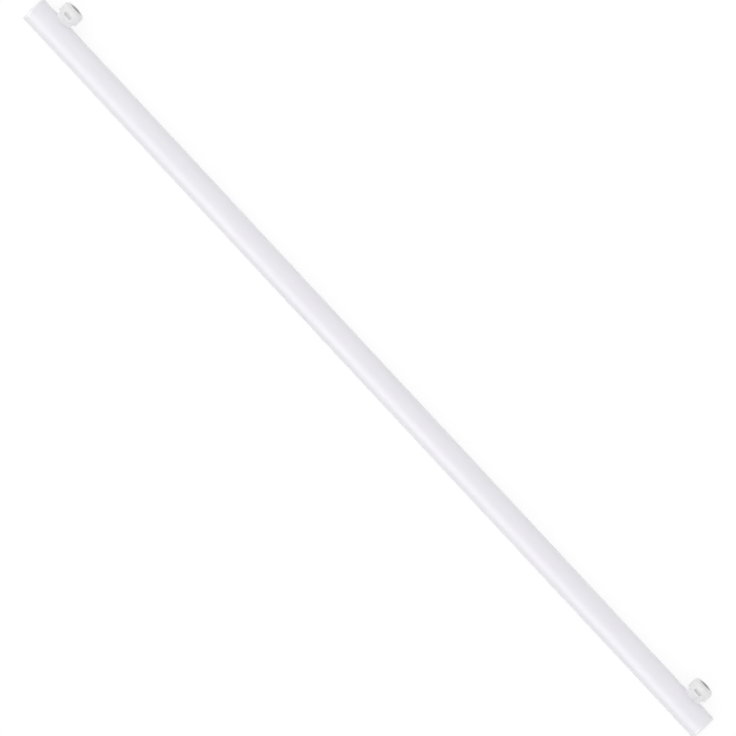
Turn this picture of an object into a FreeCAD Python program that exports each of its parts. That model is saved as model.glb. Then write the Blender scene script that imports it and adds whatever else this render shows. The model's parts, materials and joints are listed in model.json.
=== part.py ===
import FreeCAD, Part
import math
import os

# Linear tube lamp with a single-contact side cap near each end.
# The lamp is drawn with its tube along X and its caps pointing up (+Z), the tube's axis
# on the X axis. At the end it is laid down as it comes to rest on a flat surface, on its
# tube and on the rims of both caps, with the origin under the middle of its box.
# All sizes are in millimetres.

# Round edges are drawn as short flats, as many as keep within this distance of the arc
ROUND_TOLERANCE = 0.12

# Tube: one sealed opal envelope, open only as far as the seats of its end caps
LAMP_LENGTH = 1000.0          # overall, over both end caps
TUBE_DIAMETER = 29.0
TUBE_WALL = 1.1
TUBE_EDGE_ROUNDING = 0.25     # fire-polished rim at each end, which draws the seam

# End caps: a round-edged disc with a hollow spigot that plugs the tube
END_DISC_THICKNESS = 4.3      # from the seam to the lamp's end
END_EDGE_RADIUS = 2.0
SPIGOT_LENGTH = 7.0
SPIGOT_WALL = 1.8
SPIGOT_CLEARANCE = 0.1        # all round, between spigot and bore
SPIGOT_END_GAP = 0.5          # left for the adhesive under the spigot

# Side cap housing: moulded, heights measured up from the crest of the tube
CAP_INSET = 31.5              # from the lamp's end to the cap's axis
CAP_DIAMETER = 24.0
CAP_HEIGHT = 16.8             # crest of the tube to the housing's top face
CAP_FLANK_HEIGHT = 10.1       # cylindrical wall that the lampholder grips
SHOULDER_CHAMFER = 2.4        # 45 degrees
FLANK_RIM_ROUNDING = 0.7      # lower edge of the flank
NECK_DIAMETER = 18.4
NECK_FILLET = 2.0             # under the flank
CEMENT_GAP = 0.1              # between saddle and tube

# Latch pockets: one on each side of the housing, square to the tube
LATCH_WIDTH = 9.6
LATCH_HEIGHT = 3.7
LATCH_RISE = 1.6              # from the flank's lower rim to the catch ledge
LATCH_DEPTH = 3.0
LATCH_CORNER_RADIUS = 1.4
RAMP_HEIGHT = 3.6             # flat lead-in above the slot
RAMP_DEPTH = 0.5              # where it runs into the slot

# Contact: a plate stamped to a shallow crown, riveted into the housing's top
CONTACT_DIAMETER = 14.0
CONTACT_FLAT_DIAMETER = 6.4   # flat middle of the crown, which the lampholder touches
CONTACT_PROUD = 0.95          # flat middle above the housing's top face
CONTACT_RIM_PROUD = 0.15
CONTACT_SEAT_DEPTH = 0.6      # sunk into the housing
CONTACT_CLEARANCE = 0.1       # round the plate and its rivet
RIVET_DIAMETER = 3.2
RIVET_LENGTH = 6.0            # below the plate
RIVET_END_GAP = 0.4

# Values that follow from the sizes above
tube_radius = TUBE_DIAMETER / 2
cap_radius = CAP_DIAMETER / 2
neck_radius = NECK_DIAMETER / 2
bore_radius = tube_radius - TUBE_WALL
tube_half = LAMP_LENGTH / 2 - END_DISC_THICKNESS
top_height = tube_radius + CAP_HEIGHT
shoulder_height = top_height - SHOULDER_CHAMFER
rim_height = shoulder_height - CAP_FLANK_HEIGHT
contact_top = top_height + CONTACT_PROUD
cap_stations = {"a": -(LAMP_LENGTH / 2 - CAP_INSET), "b": LAMP_LENGTH / 2 - CAP_INSET}

UP = FreeCAD.Vector(0, 0, 1)
ALONG = FreeCAD.Vector(1, 0, 0)
ORIGIN = FreeCAD.Vector(0, 0, 0)


def point(radius, height):
    """A point of a half section: radius outward, height along the turning axis."""
    return FreeCAD.Vector(radius, 0, height)


def rounded_outline(corners):
    """Close a half section. Each corner is (radius, height, rounding); a rounding above
    zero replaces the corner by flats that follow the arc tangent to both of its sides."""
    points = []
    for i, (radius, height, rounding) in enumerate(corners):
        here = point(radius, height)
        if rounding <= 0:
            points.append(here)
            continue
        to_last = (point(*corners[i - 1][:2]) - here).normalize()
        to_next = (point(*corners[(i + 1) % len(corners)][:2]) - here).normalize()
        half_corner = to_last.getAngle(to_next) / 2
        turn = math.pi - 2 * half_corner
        centre = here + (to_last + to_next).normalize() * (rounding / math.sin(half_corner))
        spoke = here + to_last * (rounding / math.tan(half_corner)) - centre
        flat_turn = 2 * math.acos(max(0, 1 - ROUND_TOLERANCE / rounding))
        flats = math.ceil(turn / flat_turn)
        for k in range(flats + 1):
            angle = turn * k / flats
            points.append(centre + spoke * math.cos(angle) - to_last * (rounding * math.sin(angle)))
    return Part.makePolygon(points + points[:1])


def turned(corners):
    """Turn a rounded half section once round the Z axis."""
    return Part.Face(rounded_outline(corners)).revolve(ORIGIN, UP, 360)


def upright_cylinder(radius, height, base):
    """A cylinder on the Z axis that starts at the height base."""
    return Part.makeCylinder(radius, height, FreeCAD.Vector(0, 0, base), UP)


def opal_tube():
    """The envelope with its sealed filling: round rims, and a bore at each end as deep as
    the end cap's spigot needs."""
    bore_depth = SPIGOT_LENGTH + SPIGOT_END_GAP
    body = turned([
        (0, bore_depth - tube_half, 0),
        (bore_radius, bore_depth - tube_half, 0),
        (bore_radius, -tube_half, TUBE_EDGE_ROUNDING),
        (tube_radius, -tube_half, TUBE_EDGE_ROUNDING),
        (tube_radius, tube_half, TUBE_EDGE_ROUNDING),
        (bore_radius, tube_half, TUBE_EDGE_ROUNDING),
        (bore_radius, tube_half - bore_depth, 0),
        (0, tube_half - bore_depth, 0),
    ])
    body.rotate(ORIGIN, FreeCAD.Vector(0, 1, 0), 90)
    return body


def end_cap():
    """Round-edged disc and hollow spigot, turned with the seam at height zero."""
    spigot_radius = bore_radius - SPIGOT_CLEARANCE
    hollow_radius = spigot_radius - SPIGOT_WALL
    return turned([
        (0, 0, 0),
        (hollow_radius, 0, 0),
        (hollow_radius, -SPIGOT_LENGTH, 0),
        (spigot_radius, -SPIGOT_LENGTH, 0),
        (spigot_radius, 0, 0),
        (tube_radius, 0, 0),
        (tube_radius, END_DISC_THICKNESS, END_EDGE_RADIUS),
        (0, END_DISC_THICKNESS, 0),
    ])


def end_cap_at(side):
    """The end cap turned to face along the tube, side -1 or +1."""
    cap = end_cap()
    cap.rotate(ORIGIN, FreeCAD.Vector(0, 1, 0), 90 * side)
    cap.translate(FreeCAD.Vector(side * tube_half, 0, 0))
    return cap


def latch_pocket():
    """Cutter for one pocket, opening towards +Y: a catch slot with round corners, and above
    it a flat lead-in that leans inward and runs into the slot's upper edge."""
    floor = cap_radius - LATCH_DEPTH
    outside = cap_radius + 1.0
    ledge = rim_height + LATCH_RISE
    slot_top = ledge + LATCH_HEIGHT
    slot = Part.makeBox(LATCH_WIDTH, outside - floor, LATCH_HEIGHT,
                        FreeCAD.Vector(-LATCH_WIDTH / 2, floor, ledge))
    upright_to_flank = [edge for edge in slot.Edges
                        if abs(edge.tangentAt(edge.FirstParameter).y) > 0.99]
    slot = slot.makeFillet(LATCH_CORNER_RADIUS, upright_to_flank)
    section = [
        FreeCAD.Vector(-LATCH_WIDTH / 2, cap_radius - RAMP_DEPTH, slot_top),
        FreeCAD.Vector(-LATCH_WIDTH / 2, cap_radius, slot_top + RAMP_HEIGHT),
        FreeCAD.Vector(-LATCH_WIDTH / 2, outside, slot_top + RAMP_HEIGHT),
        FreeCAD.Vector(-LATCH_WIDTH / 2, outside, slot_top),
    ]
    ramp = Part.Face(Part.makePolygon(section + section[:1])).extrude(ALONG * LATCH_WIDTH)
    return slot.fuse(ramp)


def cap_housing():
    """Moulded housing: saddle cut to the tube, round neck, gripped flank with two latch
    pockets, chamfered shoulder and the seat of the contact."""
    shape = turned([
        (0, 0, 0),
        (neck_radius, 0, 0),
        (neck_radius, rim_height, NECK_FILLET),
        (cap_radius, rim_height, FLANK_RIM_ROUNDING),
        (cap_radius, shoulder_height, 0),
        (cap_radius - SHOULDER_CHAMFER, top_height, 0),
        (0, top_height, 0),
    ])
    saddle = Part.makeCylinder(tube_radius + CEMENT_GAP, LAMP_LENGTH,
                               FreeCAD.Vector(-LAMP_LENGTH / 2, 0, 0), ALONG)
    pocket = latch_pocket()
    far_pocket = pocket.copy()
    far_pocket.rotate(ORIGIN, UP, 180)
    seat_floor = top_height - CONTACT_SEAT_DEPTH
    seat = upright_cylinder(CONTACT_DIAMETER / 2 + CONTACT_CLEARANCE, CONTACT_SEAT_DEPTH * 2, seat_floor)
    rivet_hole_depth = RIVET_LENGTH + RIVET_END_GAP
    rivet_hole = upright_cylinder(RIVET_DIAMETER / 2 + CONTACT_CLEARANCE, rivet_hole_depth,
                                  seat_floor - rivet_hole_depth)
    return shape.cut([saddle, pocket, far_pocket, seat, rivet_hole])


def cap_contact():
    """Round plate with a shallow crown and a rivet under it."""
    plate_foot = top_height - CONTACT_SEAT_DEPTH
    return turned([
        (0, plate_foot - RIVET_LENGTH, 0),
        (RIVET_DIAMETER / 2, plate_foot - RIVET_LENGTH, 0),
        (RIVET_DIAMETER / 2, plate_foot, 0),
        (CONTACT_DIAMETER / 2, plate_foot, 0),
        (CONTACT_DIAMETER / 2, top_height + CONTACT_RIM_PROUD, 0),
        (CONTACT_FLAT_DIAMETER / 2, contact_top, 0),
        (0, contact_top, 0),
    ])


def laid_down(shape):
    """Lay the lamp on the surface: caps along +Y, sunk until the rims of their shoulders
    touch it too. The box runs from the tube's back to the upper edge of the contact's flat."""
    reach = math.hypot(shoulder_height, cap_radius)
    droop = math.asin(tube_radius / reach) - math.atan2(cap_radius, shoulder_height)
    front = contact_top * math.cos(droop) + CONTACT_FLAT_DIAMETER / 2 * math.sin(droop)
    back = -tube_radius
    laid = shape.copy()
    laid.rotate(ORIGIN, ALONG, -90 - math.degrees(droop))
    laid.translate(FreeCAD.Vector(0, -(front + back) / 2, tube_radius))
    return laid


def lamp():
    """Every separate piece of the lamp, by the name of its node."""
    pieces = {
        "opal_tube": opal_tube(),
        "end_cap_a": end_cap_at(-1),
        "end_cap_b": end_cap_at(+1),
    }
    for letter, station in cap_stations.items():
        place = FreeCAD.Vector(station, 0, 0)
        for name, make in (("cap_housing", cap_housing), ("cap_contact", cap_contact)):
            piece = make()
            piece.translate(place)
            pieces[f"{name}_{letter}"] = piece
    return {name: laid_down(piece) for name, piece in pieces.items()}


os.makedirs("parts", exist_ok=True)
for name, piece in lamp().items():
    piece.exportStep(os.path.join("parts", name + ".step"))
    print(name, "valid" if piece.isValid() else "NOT VALID", "solids", len(piece.Solids),
          "volume", round(piece.Volume, 1), "mm3, box", piece.BoundBox)
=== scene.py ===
# %% [markdown]
# # A tubular light bulb on a white table
#
# The lamp is a straight opal tube, a metre long. A round-edged cap closes each end, and
# near each end a moulded side cap carries a metal contact. It lies as it comes to rest,
# on its tube and on the rims of both side caps.
#
# The imported CAD model comes in first. It is a fixed frame: every piece below is drawn at
# the places that it gives, with finer curves than a imported model carries, and all but the
# cement take the place of one of its nodes.

# %% Load the imported model
import json
import math

import bmesh
import bpy
from mathutils import Matrix, Vector


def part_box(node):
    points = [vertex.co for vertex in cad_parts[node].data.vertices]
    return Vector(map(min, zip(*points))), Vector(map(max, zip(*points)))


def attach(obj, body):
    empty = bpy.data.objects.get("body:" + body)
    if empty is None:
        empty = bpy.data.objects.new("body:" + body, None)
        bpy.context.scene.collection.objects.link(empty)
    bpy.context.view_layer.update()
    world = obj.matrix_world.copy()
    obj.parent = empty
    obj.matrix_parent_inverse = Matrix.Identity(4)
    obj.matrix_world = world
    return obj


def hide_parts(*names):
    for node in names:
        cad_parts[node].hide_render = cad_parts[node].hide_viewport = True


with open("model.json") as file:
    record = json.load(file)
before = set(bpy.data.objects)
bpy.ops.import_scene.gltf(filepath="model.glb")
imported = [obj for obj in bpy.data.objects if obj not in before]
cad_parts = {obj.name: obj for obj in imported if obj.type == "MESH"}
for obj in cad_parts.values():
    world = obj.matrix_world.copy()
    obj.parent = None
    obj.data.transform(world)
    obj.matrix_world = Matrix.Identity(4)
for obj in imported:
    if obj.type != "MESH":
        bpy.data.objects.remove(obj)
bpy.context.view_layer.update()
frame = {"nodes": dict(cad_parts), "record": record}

print("CAD nodes:", ", ".join(sorted(frame["nodes"])))

# %% [markdown]
# ## Places, read from the frame
#
# The pieces are drawn in millimetres, as a maker's drawing gives them, and each in its
# own frame: X along the tube, Z up the cap, heights from the tube's axis. Only at the end
# does a matrix lay them down in the scene, in metres. The tube's box gives its axis, and
# the mount of each side cap gives the way that the cap points.

# %% Tube axis, cap stations and the droop of the caps
MM = 0.001
tube_low, tube_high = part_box("opal_tube")
tube_radius = (tube_high.z - tube_low.z) / 2 / MM
tube_length = (tube_high.x - tube_low.x) / MM
axis_y = tube_low.y + tube_radius * MM
axis_z = tube_low.z + tube_radius * MM

mounts = {mount["name"]: mount for mount in frame["record"]["mounts"]}
outward = Vector(mounts["cap_a"]["axis"]).normalized()
cap_radius = mounts["cap_a"]["dims"]["r_mm"]
stations = {letter: mounts["cap_" + letter]["pos_m"][0] for letter in "ab"}
droop = math.atan2(-outward.z, outward.y)
print("tube radius", round(tube_radius, 3), "mm, length", round(tube_length, 2), "mm")
print("caps at", stations, "drooping", round(math.degrees(droop), 2), "degrees")


# %% Lay a piece down in the scene
def lying_at(x):
    """The matrix that lays a piece down with its own origin on the tube's axis at x."""
    turn = Matrix.Rotation(-math.pi / 2 - droop, 4, "X")
    return Matrix.Translation((x, axis_y, axis_z)) @ turn @ Matrix.Scale(MM, 4)


# %% [markdown]
# ## Turned shapes
#
# Every piece of this lamp is round, so each starts as half of its section, which is spun
# once round an axis. A corner of the section is (radius, height, rounding), and the
# rounding turns the corner into an arc tangent to both of its sides. Subdivision could
# round the edges as well, but it would pull the flat faces out of true. Where a piece is
# cut afterwards, its straight lines are split into short rows first.

# %% Draw a section with round corners
ARC_STEP = math.radians(11)    # between two points of an arc, at most


def rounded(corners):
    """The points of a section, with each rounded corner as a smooth arc."""
    points = []
    for i, (radius, height, rounding) in enumerate(corners):
        here = Vector((radius, 0, height))
        if rounding <= 0:
            points.append(here)
            continue
        before, after = corners[i - 1], corners[(i + 1) % len(corners)]
        to_last = (Vector((before[0], 0, before[1])) - here).normalized()
        to_next = (Vector((after[0], 0, after[1])) - here).normalized()
        half_corner = to_last.angle(to_next) / 2
        turn = math.pi - 2 * half_corner
        centre = here + (to_last + to_next).normalized() * (rounding / math.sin(half_corner))
        spoke = here + to_last * (rounding / math.tan(half_corner)) - centre
        steps = math.ceil(turn / ARC_STEP)
        for k in range(steps + 1):
            angle = turn * k / steps
            points.append(centre + spoke * math.cos(angle) - to_last * (rounding * math.sin(angle)))
    return points


# %% Spin a section round its own Z axis
SEGMENTS = 160                 # round the axis
WELD = 1e-4                    # mm, points nearer than this become one


def in_rows(points, row):
    """Splits the straight lines of a section into parts no longer than a row."""
    split = []
    for here, after in zip(points, points[1:] + points[:1]):
        parts = max(1, math.ceil((after - here).length / row))
        split += [here.lerp(after, k / parts) for k in range(parts)]
    return split


def turned(corners, row=math.inf):
    """A closed mesh, in millimetres: the section spun once round Z."""
    shape = bmesh.new()
    points = [shape.verts.new(point) for point in in_rows(rounded(corners), row)]
    edges = [shape.edges.new(pair) for pair in zip(points, points[1:] + points[:1])]
    bmesh.ops.spin(shape, geom=points + edges, cent=(0, 0, 0), axis=(0, 0, 1),
                   angle=2 * math.pi, steps=SEGMENTS, use_duplicate=False)
    bmesh.ops.remove_doubles(shape, verts=shape.verts, dist=WELD)
    on_axis = [edge for edge in shape.edges if not edge.link_faces]
    bmesh.ops.delete(shape, geom=on_axis, context="EDGES")
    bmesh.ops.recalc_face_normals(shape, faces=shape.faces)
    return shape


# %% Finish a piece: place it, smooth it, hang it on the root and hide its CAD node
SHARP_ANGLE = math.radians(32)      # two faces that meet at more than this keep their edge


def finished(name, mesh, matrix, material, node=None):
    """Lays the mesh down as a named piece, which stands for a CAD node if one is given. Its
    points keep their own millimetres in an attribute, which the materials measure by."""
    own = mesh.attributes.new("own_mm", "FLOAT_VECTOR", "POINT")
    own.data.foreach_set("vector", [value for vertex in mesh.vertices for value in vertex.co])
    mesh.transform(matrix)
    mesh.set_sharp_from_angle(angle=SHARP_ANGLE)
    mesh.polygons.foreach_set("use_smooth", [True] * len(mesh.polygons))
    mesh.materials.clear()
    mesh.materials.append(material)
    mesh.name = name
    piece = bpy.data.objects.new(name, mesh)
    bpy.context.scene.collection.objects.link(piece)
    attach(piece, "root")
    if node:
        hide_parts(node)
    print(f"{name}: {len(mesh.polygons)} faces, stands for {node or 'no node'}")


def mesh_of(shape):
    """Turns a bmesh into a mesh and frees it."""
    mesh = bpy.data.meshes.new("piece")
    shape.to_mesh(mesh)
    shape.free()
    return mesh


# %% [markdown]
# ## Colour and nodes
#
# Colours are picked as sRGB hex values, as on a screen, while the shaders count in linear
# light. One function turns the first into the second. Another adds a node, with its
# settings and with what feeds its inputs, so that each finish below reads as a recipe.

# %% Colour and node helpers
def linear(code):
    """An sRGB hex colour as linear RGBA."""
    values = [int(code[i:i + 2], 16) / 255 for i in (1, 3, 5)]
    return [v / 12.92 if v <= 0.04045 else ((v + 0.055) / 1.055) ** 2.4 for v in values] + [1.0]


def add(tree, kind, inputs=(), **settings):
    """Adds a node. Its inputs are fed by name from a dict, or in order from a list. Each
    takes a value, a socket, or a node, whose first output feeds it."""
    node = tree.nodes.new(kind)
    for name, value in settings.items():
        setattr(node, name, value)
    sockets = [s for s in node.inputs if s.enabled]
    for key, value in (inputs.items() if isinstance(inputs, dict) else enumerate(inputs)):
        socket = [s for place, s in enumerate(sockets) if key in (place, s.name)][0]
        if isinstance(value, bpy.types.Node):
            value = [s for s in value.outputs if s.enabled][0]
        if isinstance(value, bpy.types.NodeSocket):
            tree.links.new(value, socket)
        else:
            socket.default_value = value
    return node


def new_material(name):
    """An empty material, with the node that gives each point's own millimetres."""
    material = bpy.data.materials.new(name)
    material.use_nodes = True
    tree = material.node_tree
    tree.nodes.clear()
    own = add(tree, "ShaderNodeAttribute", attribute_name="own_mm")
    return material, tree, own.outputs["Vector"]


# %% [markdown]
# ## Opal glass
#
# The tube is milk-white drawn glass. Light goes a little way into it before it comes
# back, so its shading is soft, and its skin is even and satin: the eye sees a long soft
# highlight with blurred sides, and a faint lavender cast. Drawing leaves shallow
# unevenness, stretched along the tube. A Principled shader with some subsurface gives
# this; a transparent shell round a white core would be slower and look the same.

# %% Material: opal glass, drawn
OPAL_COLOUR = "#eae9ed"
OPAL_THICKER = "#e7e6eb"       # where the opal layer is a little thicker
DRAW_WIDTH = 9.0               # mm round the tube, one wave of the drawing
DRAW_STRETCH = 14.0            # how much longer a wave is along the tube
DRAW_HEIGHT = 0.012            # mm
OPAL_ROUGHNESS = (0.36, 0.42)  # satin
OPAL_DEPTH = 0.6               # mm that light goes in before it comes back
OPAL_DEPTHS = (1.0, 0.95, 1.0)      # of red, green and blue, as shares of it
GLASS_IOR = 1.5


def opal_glass():
    material, tree, own = new_material("opal glass, drawn")
    stretched = add(tree, "ShaderNodeMapping", {"Vector": own, "Scale": (1 / DRAW_STRETCH, 1, 1)})
    waves = add(tree, "ShaderNodeTexNoise",
                {"Vector": stretched, "Scale": 1 / DRAW_WIDTH, "Detail": 2.0})
    colour = add(tree, "ShaderNodeMix", [waves, linear(OPAL_COLOUR), linear(OPAL_THICKER)],
                 data_type="RGBA")
    gloss = add(tree, "ShaderNodeMapRange", [waves, 0, 1, *OPAL_ROUGHNESS])
    relief = add(tree, "ShaderNodeBump",
                 {"Height": waves, "Distance": DRAW_HEIGHT * MM, "Strength": 1.0})
    shader = add(tree, "ShaderNodeBsdfPrincipled",
                 {"Base Color": colour, "Roughness": gloss, "IOR": GLASS_IOR,
                  "Subsurface Weight": 1.0, "Subsurface Radius": OPAL_DEPTHS,
                  "Subsurface Scale": OPAL_DEPTH * MM, "Normal": relief})
    add(tree, "ShaderNodeOutputMaterial", {"Surface": shader})
    return material


# %% [markdown]
# ## Moulded plastics
#
# The end caps are moulded polycarbonate, coloured to match the tube, with a smooth satin
# skin. The side caps are moulded polyester, which stands the heat: a neutral white with a
# duller skin, because the mould was spark-eroded. That leaves a fine grain of pits, which
# blurs the highlight and keeps edges from glinting.
#
# The foot of a side cap's neck carries painted shade in front, where the flank overhangs
# it, and painted light at its sides, which lifts the shade in the creases, so the neck has
# the tube's tone and not the flank's. On the tube it fades to the opal's own colour. Height
# and distance from the middle place it; an image mask would do the same, but it would not
# follow the neck if a size were changed.

# %% Painted shade and painted light on the foot of a neck
NECK_FRONT_PAINTED_SHADE = "#dbdadd"       # painted shade in front, where the flank overhangs the neck
NECK_SIDE_PAINTED_LIGHT = "#f2f1f4"        # painted light at the sides, which lifts the shade in the creases there
NECK_PAINT_SIDES = (3.0, 9.0)      # mm along the tube: painted shade only, painted light only
NECK_PAINT_TOE = (10.0, 12.4)      # mm from the tube's axis: opal colour only, painted shade and light only
NECK_PAINT_TOP = (16.8, 19.4)      # mm from the tube's axis: painted shade and light only, plastic only


def with_painted_shade(tree, own, plastic):
    """A plastic's colour, with painted shade and painted light on the foot of its neck."""
    place = add(tree, "ShaderNodeSeparateXYZ", [own])
    height = place.outputs["Z"]
    aside = add(tree, "ShaderNodeMath", [place.outputs["X"]], operation="ABSOLUTE")
    sideways = add(tree, "ShaderNodeMapRange", [aside, *NECK_PAINT_SIDES])
    above_toe = add(tree, "ShaderNodeMapRange", [height, *NECK_PAINT_TOE])
    above_top = add(tree, "ShaderNodeMapRange", [height, *NECK_PAINT_TOP])
    # painted shade in front of the neck, and painted light at its sides
    shade_and_light = add(tree, "ShaderNodeMix", [sideways, linear(NECK_FRONT_PAINTED_SHADE), linear(NECK_SIDE_PAINTED_LIGHT)],
                data_type="RGBA")
    # the painted shade and light fade to the opal's own colour on the tube
    faded_to_opal = add(tree, "ShaderNodeMix", [above_toe, linear(OPAL_COLOUR), shade_and_light],
                  data_type="RGBA")
    return add(tree, "ShaderNodeMix", [above_top, faded_to_opal, plastic], data_type="RGBA")


# %% A moulded white plastic
FLOW_SIZE = 6.0                # mm, faint clouding where the melt flowed
PLASTIC_GLOW = 0.15            # share of the light that goes into the plastic
PLASTIC_DEPTH = 0.8            # mm that it goes in
PLASTIC_DEPTHS = (1.0, 1.0, 0.9)    # of red, green and blue, as shares of it


def moulded(name, colours, roughness, ior, grain, grain_height, paint_neck_shade=False):
    """A white plastic: cloudy flow in its colour and gloss, and a fine grain on its skin."""
    material, tree, own = new_material(name)
    flow = add(tree, "ShaderNodeTexNoise", {"Vector": own, "Scale": 1 / FLOW_SIZE, "Detail": 3.0})
    colour = add(tree, "ShaderNodeMix", [flow, *map(linear, colours)], data_type="RGBA")
    # painted shade in front of the neck's foot and painted light at its sides, if asked for
    if paint_neck_shade:
        colour = with_painted_shade(tree, own, colour)
    gloss = add(tree, "ShaderNodeMapRange", [flow, 0, 1, *roughness])
    pits = add(tree, "ShaderNodeTexVoronoi", {"Vector": own, "Scale": 1 / grain},
               feature="SMOOTH_F1")
    relief = add(tree, "ShaderNodeBump",
                 {"Height": pits, "Distance": grain_height * MM, "Strength": 1.0})
    shader = add(tree, "ShaderNodeBsdfPrincipled",
                 {"Base Color": colour, "Roughness": gloss, "IOR": ior,
                  "Subsurface Weight": PLASTIC_GLOW, "Subsurface Radius": PLASTIC_DEPTHS,
                  "Subsurface Scale": PLASTIC_DEPTH * MM, "Normal": relief})
    add(tree, "ShaderNodeOutputMaterial", {"Surface": shader})
    return material


# %% Materials: polycarbonate, and polyester from a spark-eroded mould
end_plastic = moulded(
    "polycarbonate, moulded",
    colours=("#e9e8eb", "#e4e3e6"),     # matched to the tube, and where the melt clouded it
    roughness=(0.38, 0.46), ior=1.58,
    grain=0.3,                          # mm; the real grain, near 0.05 mm, is too fine to show
    grain_height=0.003)                 # mm

# The side caps' polyester carries painted shade and painted light on the neck's foot.
cap_plastic = moulded(
    "polyester, spark-eroded mould",
    colours=("#e3e3e3", "#dedede"),     # neutral, and where the melt clouded it
    roughness=(0.42, 0.52), ior=1.55,
    grain=0.35,                         # mm; the real pits, near 0.08 mm, are too fine to show
    grain_height=0.012,                 # mm
    paint_neck_shade=True)

# %% [markdown]
# ## Nickel-plated contact
#
# The contact is a stamped brass plate with dull nickel on it. The stamping die was turned
# on a lathe, so fine rings show on the face and hold a little dirt. Handling has left
# patches. The middle is painted darker, as painted shade, and the rim lighter, as a painted
# reflection of the bright room that its slope catches. Nickel is darker than chrome and
# nearly neutral, with a trace of yellow. A mirror of one grey would look like paint: the
# tones and the change in gloss make it metal.

# %% Material: nickel plate, turned die
NICKEL_COLOUR = "#92918f"
NICKEL_DULL = "#7d7c7a"        # where handling has dulled it
NICKEL_PAINTED_RIM_SHEEN = "#b7b6b3"         # painted reflection of the bright room, on the rim
PAINTED_SHEEN_RADIUS = (4.8, 6.8)        # mm from the middle: none of the painted rim reflection, all of it
RING_DIRT = "#5e5d5b"
RING_DIRT_SHARE = 0.28         # at most, in the bottom of a ring
NICKEL_PAINTED_MIDDLE_SHADE = "#5e5d5b"        # painted shade in the middle
PAINTED_SHADE_RADIUS = (1.2, 4.4)       # mm from the middle: all of the painted shade, none of it
RING_SPACING = 0.45            # mm; the real rings, near 0.1 mm apart, are too fine to show
RING_HEIGHT = 0.004            # mm
DULL_SIZE = 3.5                # mm, patches of handling
NICKEL_ROUGHNESS = (0.26, 0.42)


def nickel_plate():
    material, tree, own = new_material("nickel plate, turned die")
    rings = add(tree, "ShaderNodeTexWave",
                {"Vector": own, "Scale": 1 / RING_SPACING, "Distortion": 0.6, "Detail": 1.0},
                wave_type="RINGS", rings_direction="Z", wave_profile="SIN")
    patches = add(tree, "ShaderNodeTexNoise",
                  {"Vector": own, "Scale": 1 / DULL_SIZE, "Detail": 4.0})
    across = add(tree, "ShaderNodeMapping", {"Vector": own, "Scale": (1, 1, 0)})
    radius = add(tree, "ShaderNodeVectorMath", [across], operation="LENGTH").outputs["Value"]
    painted_sheen = add(tree, "ShaderNodeMapRange", [radius, *PAINTED_SHEEN_RADIUS])
    middle_shade = add(tree, "ShaderNodeMapRange", [radius, *PAINTED_SHADE_RADIUS, 1, 0])
    dirty = add(tree, "ShaderNodeMapRange", [rings.outputs["Fac"], 0, 1, RING_DIRT_SHARE, 0])
    # handling patches, a painted reflection on the rim, painted shade in the middle, dirt in the
    # rings
    colour = linear(NICKEL_COLOUR)
    for factor, code in ((patches, NICKEL_DULL), (painted_sheen, NICKEL_PAINTED_RIM_SHEEN), (middle_shade, NICKEL_PAINTED_MIDDLE_SHADE),
                         (dirty, RING_DIRT)):
        colour = add(tree, "ShaderNodeMix", [factor, colour, linear(code)], data_type="RGBA")
    gloss = add(tree, "ShaderNodeMapRange", [patches, 0, 1, *NICKEL_ROUGHNESS])
    relief = add(tree, "ShaderNodeBump",
                 {"Height": rings, "Distance": RING_HEIGHT * MM, "Strength": 1.0})
    shader = add(tree, "ShaderNodeBsdfPrincipled",
                 {"Base Color": colour, "Metallic": 1.0, "Roughness": gloss, "Normal": relief})
    add(tree, "ShaderNodeOutputMaterial", {"Surface": shader})
    return material


contact_metal = nickel_plate()
opal = opal_glass()
for material in (opal, end_plastic, cap_plastic, contact_metal):
    print("material:", material.name, "with", len(material.node_tree.nodes), "nodes")

# %% [markdown]
# ## The opal tube
#
# A glass tube cut to length, with rims that a flame has rounded. Half of its wall is
# drawn as a section and spun, bores included, and then turned to lie along X.

# %% Tube: section and spin
TUBE_WALL = 1.1
BORE_DEPTH = 7.5
RIM_ROUNDING = 0.28
LAY_ALONG_X = Matrix.Rotation(math.pi / 2, 4, "Y")

bore_radius = tube_radius - TUBE_WALL
tube_end = tube_length / 2
tube = turned([
    (0, BORE_DEPTH - tube_end, 0),
    (bore_radius, BORE_DEPTH - tube_end, 0),
    (bore_radius, -tube_end, RIM_ROUNDING),
    (tube_radius, -tube_end, RIM_ROUNDING),
    (tube_radius, tube_end, RIM_ROUNDING),
    (bore_radius, tube_end, RIM_ROUNDING),
    (bore_radius, tube_end - BORE_DEPTH, 0),
    (0, tube_end - BORE_DEPTH, 0),
])
tube.transform(LAY_ALONG_X)
finished("glass_tube", mesh_of(tube), lying_at(0), opal, "opal_tube")

# %% [markdown]
# ## The end caps
#
# Each end cap is a disc with a round edge and a hollow spigot that plugs the tube. A
# moulded disc is never quite flat: it is given a slight crown, so that it doesn't sink in
# the middle as it cools. The crown is a parabola, drawn from rim to pole.

# %% End caps: section, crown and spin
SPIGOT_WALL = 1.8
SPIGOT_CLEARANCE = 0.1
SPIGOT_EDGE = 0.3              # rounding of the spigot's foot
END_EDGE_RADIUS = 2.2
SEAM_ROUNDING = 0.28           # where the disc meets the tube
CROWN_HEIGHT = 0.7
CROWN_STEPS = 12               # from rim to pole

end_low, end_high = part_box("end_cap_b")
disc_thickness = (end_high.x - tube_high.x) / MM
spigot_length = (tube_high.x - end_low.x) / MM
spigot_radius = bore_radius - SPIGOT_CLEARANCE
hollow_radius = spigot_radius - SPIGOT_WALL
shares = [1 - k / CROWN_STEPS for k in range(1, CROWN_STEPS + 1)]
crown = [(tube_radius * share, disc_thickness - CROWN_HEIGHT * share ** 2, 0)
         for share in shares if share < 1 - END_EDGE_RADIUS / tube_radius]

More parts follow.
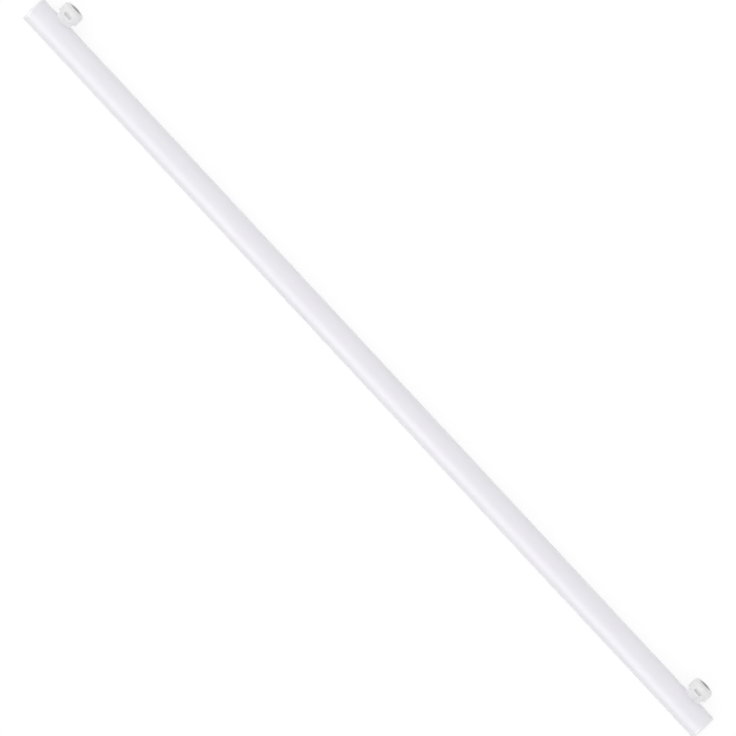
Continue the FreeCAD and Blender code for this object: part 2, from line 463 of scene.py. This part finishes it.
for letter, side in (("a", -1), ("b", 1)):
    cap = turned([
        (0, 0, 0),
        (hollow_radius, 0, 0),
        (hollow_radius, -spigot_length, 0),
        (spigot_radius, -spigot_length, SPIGOT_EDGE),
        (spigot_radius, 0, 0),
        (tube_radius, 0, SEAM_ROUNDING),
        (tube_radius, disc_thickness - CROWN_HEIGHT, END_EDGE_RADIUS),
        *crown,
    ])
    cap.transform(Matrix.Rotation(side * math.pi / 2, 4, "Y"))
    finished("end_disc_" + letter, mesh_of(cap), lying_at(side * tube_high.x), end_plastic,
             "end_cap_" + letter)

# %% [markdown]
# ## The side cap housings
#
# The housing is one moulding: a saddle that fits the tube, a round neck that flares into
# the flank, a chamfered shoulder, and the seat of the contact. All that is round is spun,
# the seat and the rivet's hole included. The saddle and the two latch pockets are cut, as
# a mould's slides form them, and a narrow bevel breaks each cut edge, because no moulded
# edge is sharp. A cut through long faces leaves streaks in the shading, so the section is
# first split into short rows: more faces, but the flank stays smooth right up to a cut.

# %% Housing: its section, in (radius, height above the tube's axis, rounding)
CAP_HEIGHT = 16.8              # above the tube's wall
CAP_FLANK_HEIGHT = 10.1
SHOULDER_CHAMFER = 2.4
NECK_DIAMETER = 18.4
NECK_FILLET = 2.0              # where the neck flares into the flank
FLANK_EDGE = 0.7               # rounding of the flank's lower rim
SHOULDER_EDGE = 0.35           # rounding of the chamfer's two edges
SEAT_EDGE = 0.15               # rounding of the seat's mouth
CONTACT_DIAMETER = 14.0
CONTACT_SEAT_DEPTH = 0.6
CONTACT_CLEARANCE = 0.1
RIVET_DIAMETER = 3.2
RIVET_LENGTH = 6.0
RIVET_END_GAP = 0.4            # left under the rivet in its hole
BLANK_FOOT = 9.0               # below the saddle, which is cut later
ROW = 0.7                      # short faces, so that a cut disturbs only what it touches

top_height = tube_radius + CAP_HEIGHT
shoulder_height = top_height - SHOULDER_CHAMFER
rim_height = shoulder_height - CAP_FLANK_HEIGHT
neck_radius = NECK_DIAMETER / 2
seat_floor = top_height - CONTACT_SEAT_DEPTH
seat_radius = CONTACT_DIAMETER / 2 + CONTACT_CLEARANCE
hole_radius = RIVET_DIAMETER / 2 + CONTACT_CLEARANCE
hole_foot = seat_floor - RIVET_LENGTH - RIVET_END_GAP
HOUSING_SECTION = [
    (0, BLANK_FOOT, 0),
    (neck_radius, BLANK_FOOT, 0),
    (neck_radius, rim_height, NECK_FILLET),
    (cap_radius, rim_height, FLANK_EDGE),
    (cap_radius, shoulder_height, SHOULDER_EDGE),
    (cap_radius - SHOULDER_CHAMFER, top_height, SHOULDER_EDGE),
    (seat_radius, top_height, SEAT_EDGE),
    (seat_radius, seat_floor, 0),
    (hole_radius, seat_floor, 0),
    (hole_radius, hole_foot, 0),
    (0, hole_foot, 0),
]

# %% Housing: the cutters
LATCH_WIDTH = 9.6
LATCH_HEIGHT = 3.7
LATCH_RISE = 1.6               # above the flank's lower rim
LATCH_DEPTH = 3.0
LATCH_CORNER_RADIUS = 1.4
RAMP_HEIGHT = 3.6
RAMP_DEPTH = 0.5               # where it runs into the slot
CEMENT_GAP = 0.1               # between saddle and tube
OUTSIDE = 3.0                  # how far a cutter reaches past the housing

ledge = rim_height + LATCH_RISE
slot_top = ledge + LATCH_HEIGHT
slot_floor = cap_radius - LATCH_DEPTH


def extruded(outline, along):
    """A closed solid: a flat outline, moved along a vector."""
    shape = bmesh.new()
    face = shape.faces.new([shape.verts.new(point) for point in outline])
    moved = bmesh.ops.extrude_face_region(shape, geom=[face])["geom"]
    far_points = [part for part in moved if isinstance(part, bmesh.types.BMVert)]
    bmesh.ops.translate(shape, vec=along, verts=far_points)
    bmesh.ops.recalc_face_normals(shape, faces=shape.faces)
    return shape


def slot_cutter():
    """The catch slot: its front view is a rounded rectangle, as (x, height)."""
    half = LATCH_WIDTH / 2
    corners = [(-half, ledge), (half, ledge), (half, slot_top), (-half, slot_top)]
    front = rounded([(x, height, LATCH_CORNER_RADIUS) for x, height in corners])
    outline = [point + Vector((0, slot_floor, 0)) for point in front]
    return extruded(outline, (0, LATCH_DEPTH + OUTSIDE, 0))


def ramp_cutter():
    """The flat lead-in above the slot, which leans inward and runs into it."""
    half = LATCH_WIDTH / 2
    side = [(cap_radius - RAMP_DEPTH, slot_top), (cap_radius, slot_top + RAMP_HEIGHT),
            (cap_radius + OUTSIDE, slot_top + RAMP_HEIGHT), (cap_radius + OUTSIDE, slot_top)]
    return extruded([(-half, y, height) for y, height in side], (LATCH_WIDTH, 0, 0))


def saddle_cutter():
    """The tube with its cement, which the housing sits on."""
    reach = cap_radius + OUTSIDE
    radius = tube_radius + CEMENT_GAP
    shape = turned([(0, -reach, 0), (radius, -reach, 0), (radius, reach, 0), (0, reach, 0)])
    shape.transform(LAY_ALONG_X)
    return shape


# %% Housing: cut, break the edges and lay down
EDGE_BREAK = 0.12
EDGE_BREAK_STEPS = 2           # facets across a broken edge
EDGE_BREAK_ANGLE = math.radians(40)     # edges that turn by more than this are broken


def cut(shape, cutters):
    """Subtracts each cutter from the shape in turn, then breaks the cut edges."""
    body = bpy.data.objects.new("blank", mesh_of(shape))
    bpy.context.scene.collection.objects.link(body)
    tools = []
    for cutter in cutters:
        tool = bpy.data.objects.new("cutter", mesh_of(cutter))
        bpy.context.scene.collection.objects.link(tool)
        step = body.modifiers.new("cut", "BOOLEAN")
        step.operation = "DIFFERENCE"
        step.solver = "EXACT"
        step.object = tool
        tools.append(tool)
    bevel = body.modifiers.new("edge break", "BEVEL")
    bevel.width = EDGE_BREAK
    bevel.segments = EDGE_BREAK_STEPS
    bevel.limit_method = "ANGLE"
    bevel.angle_limit = EDGE_BREAK_ANGLE
    even = body.modifiers.new("even shading", "WEIGHTED_NORMAL")
    even.keep_sharp = True
    graph = bpy.context.evaluated_depsgraph_get()
    made = bpy.data.meshes.new_from_object(body.evaluated_get(graph))
    for spent in [body] + tools:
        bpy.data.objects.remove(spent)
    return made


for letter, station in stations.items():
    cutters = [saddle_cutter()]
    for turn in (0, math.pi):
        for pocket in (slot_cutter(), ramp_cutter()):
            pocket.transform(Matrix.Rotation(turn, 4, "Z"))
            cutters.append(pocket)
    housing = cut(turned(HOUSING_SECTION, row=ROW), cutters)
    finished("side_cap_" + letter, housing, lying_at(station), cap_plastic,
             "cap_housing_" + letter)

# %% [markdown]
# ## The cement
#
# No dark line shows where a neck meets the tube, and the neck flares a little at its foot:
# the joint is filled. The cement lines the gap under the saddle, and what was pressed out
# was wiped to a hollow bead. Its section is spun as if the tube were flat, and then every
# point is lifted by the height of the tube's wall under it, which bends the ring into a
# saddle. It has the finish of the neck, with the same painted shade and painted light.

# %% Cement: a bead round the foot of each neck
BEAD_WIDTH = 1.4               # on the tube, out from the neck
BEAD_INSIDE = 0.5              # how far it reaches under the saddle

for letter, station in stations.items():
    inner_radius = neck_radius - BEAD_INSIDE
    bead = turned([
        (inner_radius, 0, 0),
        (neck_radius + BEAD_WIDTH, 0, 0),
        (neck_radius, 0, BEAD_WIDTH),
        (neck_radius, CEMENT_GAP, 0),
        (inner_radius, CEMENT_GAP, 0),
    ])
    for vertex in bead.verts:
        vertex.co.z += math.sqrt(tube_radius ** 2 - vertex.co.y ** 2)
    finished("cement_" + letter, mesh_of(bead), lying_at(station), cap_plastic)

# %% [markdown]
# ## The contacts
#
# A plate stamped to a shallow crown with a flat middle, and a rivet under it. The die
# rolls the plate's rim over. All of it is in the section, so a spin makes it.

# %% Contacts: section and spin
CONTACT_PROUD = 0.95           # above the housing, in the middle
CONTACT_RIM_PROUD = 0.15       # and at its rim
CONTACT_FLAT_DIAMETER = 4.8
CONTACT_RIM_ROUNDING = 0.12
CROWN_RINGS = 10               # from the flat to the rim

contact_top = top_height + CONTACT_PROUD
contact_radius = CONTACT_DIAMETER / 2
rivet_radius = RIVET_DIAMETER / 2
flat_radius = CONTACT_FLAT_DIAMETER / 2
crown_drop = CONTACT_PROUD - CONTACT_RIM_PROUD
contact_crown = [(flat_radius + (contact_radius - flat_radius) * k / CROWN_RINGS,
                  contact_top - crown_drop * (k / CROWN_RINGS) ** 2, 0)
                 for k in range(CROWN_RINGS - 1, -1, -1)]

for letter, station in stations.items():
    contact = turned([
        (0, seat_floor - RIVET_LENGTH, 0),
        (rivet_radius, seat_floor - RIVET_LENGTH, 0),
        (rivet_radius, seat_floor, 0),
        (contact_radius, seat_floor, 0),
        (contact_radius, top_height + CONTACT_RIM_PROUD, CONTACT_RIM_ROUNDING),
        *contact_crown,
        (0, contact_top, 0),
    ])
    finished("contact_plate_" + letter, mesh_of(contact), lying_at(station), contact_metal,
             "cap_contact_" + letter)

# %% [markdown]
# ## Table and light
#
# A white thing on white is lit by surroundings more than by lamps. A light tent gives most
# of the light, a little stronger from above, and stronger towards both ends of the lamp,
# which keeps the sides of the side caps from going dark. The pale table throws its share
# back from below. A weak key softbox over end a gives the shadows a side. A strip softbox
# behind the tube's back draws the long highlight; it shines in gloss only, because the
# tube's even shade shows that it added next to nothing to the diffuse light.
#
# To a ray that looks, from the camera or by way of gloss, the room is plain white and the
# table is mostly plain white too. The small part of the table that is left takes the
# lamp's soft shadow, and no light is added to the lamp by it.

# %% Rays that look, and rays that light
def looked_at(tree):
    """1 for rays that see a surface, straight or in a mirror or glass, and 0 for the rest."""
    rays = add(tree, "ShaderNodeLightPath")
    seen = rays.outputs["Is Camera Ray"]
    for kind in ("Is Glossy Ray", "Is Transmission Ray"):
        seen = add(tree, "ShaderNodeMath", [seen, rays.outputs[kind]], operation="MAXIMUM")
    return seen


# %% Table
TABLE_SIZE = 24.0              # m
TABLE_COLOUR = "#e9e9e9"
TABLE_TO_THE_EYE = "#6d6d6d"   # the part of it that a looking ray sees, which takes the shadow
TABLE_WHITENING = 0.855        # the rest, as plain white

table_mesh = bpy.data.meshes.new("table")
half = TABLE_SIZE / 2
table_mesh.from_pydata([(-half, -half, 0), (half, -half, 0), (half, half, 0), (-half, half, 0)],
                       [], [(0, 1, 2, 3)])
table = bpy.data.objects.new("table", table_mesh)
bpy.context.scene.collection.objects.link(table)

table_finish = bpy.data.materials.new("white laminate, sanded")
table_finish.use_nodes = True
tree = table_finish.node_tree
tree.nodes.clear()
looking = looked_at(tree)
colour = add(tree, "ShaderNodeMix",
             [looking, linear(TABLE_COLOUR), linear(TABLE_TO_THE_EYE)], data_type="RGBA")
board = add(tree, "ShaderNodeBsdfDiffuse", {"Color": colour})
strength = add(tree, "ShaderNodeMapRange", [looking, 0, 1, 0, TABLE_WHITENING])
glow = add(tree, "ShaderNodeEmission", {"Strength": strength})
both = add(tree, "ShaderNodeAddShader", [board, glow])
add(tree, "ShaderNodeOutputMaterial", {"Surface": both})
table_mesh.materials.append(table_finish)
print("table:", TABLE_SIZE, "m wide, finish", table_finish.name)

# %% Room light
TENT_WALLS = 0.617             # strength of the light tent at the height of the table
TENT_SLOPE = (-0.03, -0.02, 0.26)   # how it grows along +X, +Y and up
TENT_ENDS = 0.90               # what comes on top at both ends, with the square of X

world = bpy.data.worlds.new("light tent")
world.use_nodes = True
bpy.context.scene.world = world
tree = world.node_tree
tree.nodes.clear()
direction = add(tree, "ShaderNodeTexCoord").outputs["Generated"]
slope = add(tree, "ShaderNodeVectorMath", [direction, TENT_SLOPE], operation="DOT_PRODUCT")
lengthwise = add(tree, "ShaderNodeSeparateXYZ", [direction]).outputs["X"]
squared = add(tree, "ShaderNodeMath", [lengthwise, lengthwise], operation="MULTIPLY")
walls = add(tree, "ShaderNodeMath", [squared, TENT_ENDS, TENT_WALLS], operation="MULTIPLY_ADD")
tent = add(tree, "ShaderNodeMath", [slope.outputs["Value"], walls], operation="ADD")
level = add(tree, "ShaderNodeMix", [looked_at(tree), tent, 1.0])
room = add(tree, "ShaderNodeBackground", {"Color": (1, 1, 1, 1), "Strength": level})
add(tree, "ShaderNodeOutputWorld", {"Surface": room})
print("light tent: walls", TENT_WALLS, "slope", TENT_SLOPE, "ends", TENT_ENDS)

# %% Softboxes
lamp_middle = Vector((0, axis_y, axis_z))


def softbox(name, way, distance, size, radiance):
    """A rectangular softbox that faces the lamp, with its long side along the tube."""
    light = bpy.data.lights.new(name, "AREA")
    light.shape = "RECTANGLE"
    light.size, light.size_y = size
    light.energy = radiance * math.pi * size[0] * size[1]
    out = Vector(way).normalized()
    along = (Vector((1, 0, 0)) - out * out.x).normalized()
    turn = Matrix((along, out.cross(along), out)).transposed().to_4x4()
    holder = bpy.data.objects.new(name, light)
    holder.matrix_world = Matrix.Translation(lamp_middle + out * distance) @ turn
    bpy.context.scene.collection.objects.link(holder)
    place = [round(metres, 2) for metres in holder.matrix_world.translation]
    print(f"{name}: {light.energy:.2f} W at {place} m")
    return holder


softbox("key softbox", way=(-0.70, 0.10, 0.66), distance=5.0, size=(2.6, 2.6), radiance=0.5)
strip = softbox("strip softbox", way=(0, -1, 1.08), distance=1.5, size=(2.6, 1.45), radiance=3.0)
strip.visible_diffuse = False       # it shines in gloss only

# %% [markdown]
# ## Camera
#
# The photograph looks down on the lamp, tipped a few degrees towards the contacts, and
# turned so that the tube runs from the top left corner to the bottom right. A long lens
# from far away keeps the tube's two sides parallel.

# %% Camera at the photograph's angle
TIP = math.radians(12.1)            # from straight above, towards the contacts
TIP_ALONG = math.radians(1.3)       # from straight above, towards end b
TUBE_ANGLE = math.radians(47.046)   # of the tube below the photograph's horizontal
DISTANCE = 12.0                     # m
FRAME_WIDTH = 0.7468                # m, at the lamp
SENSOR_WIDTH = 36                   # mm
SEEN_TO = 50                        # m

back = Vector((math.tan(TIP_ALONG), math.tan(TIP), 1)).normalized()
along = (Vector((1, 0, 0)) - back * back.x).normalized()
across = back.cross(along)
right = along * math.cos(TUBE_ANGLE) + across * math.sin(TUBE_ANGLE)
up = across * math.cos(TUBE_ANGLE) - along * math.sin(TUBE_ANGLE)

lens = bpy.data.cameras.new("camera")
lens.sensor_width = SENSOR_WIDTH
lens.lens = SENSOR_WIDTH * DISTANCE / FRAME_WIDTH
lens.clip_end = SEEN_TO
camera = bpy.data.objects.new("camera", lens)
camera.matrix_world = Matrix.Translation(lamp_middle + back * DISTANCE) @ \
    Matrix((right, up, back)).transposed().to_4x4()
bpy.context.scene.collection.objects.link(camera)
bpy.context.scene.camera = camera
bpy.context.scene.view_settings.view_transform = "Standard"
print("lens", round(lens.lens, 1), "mm")
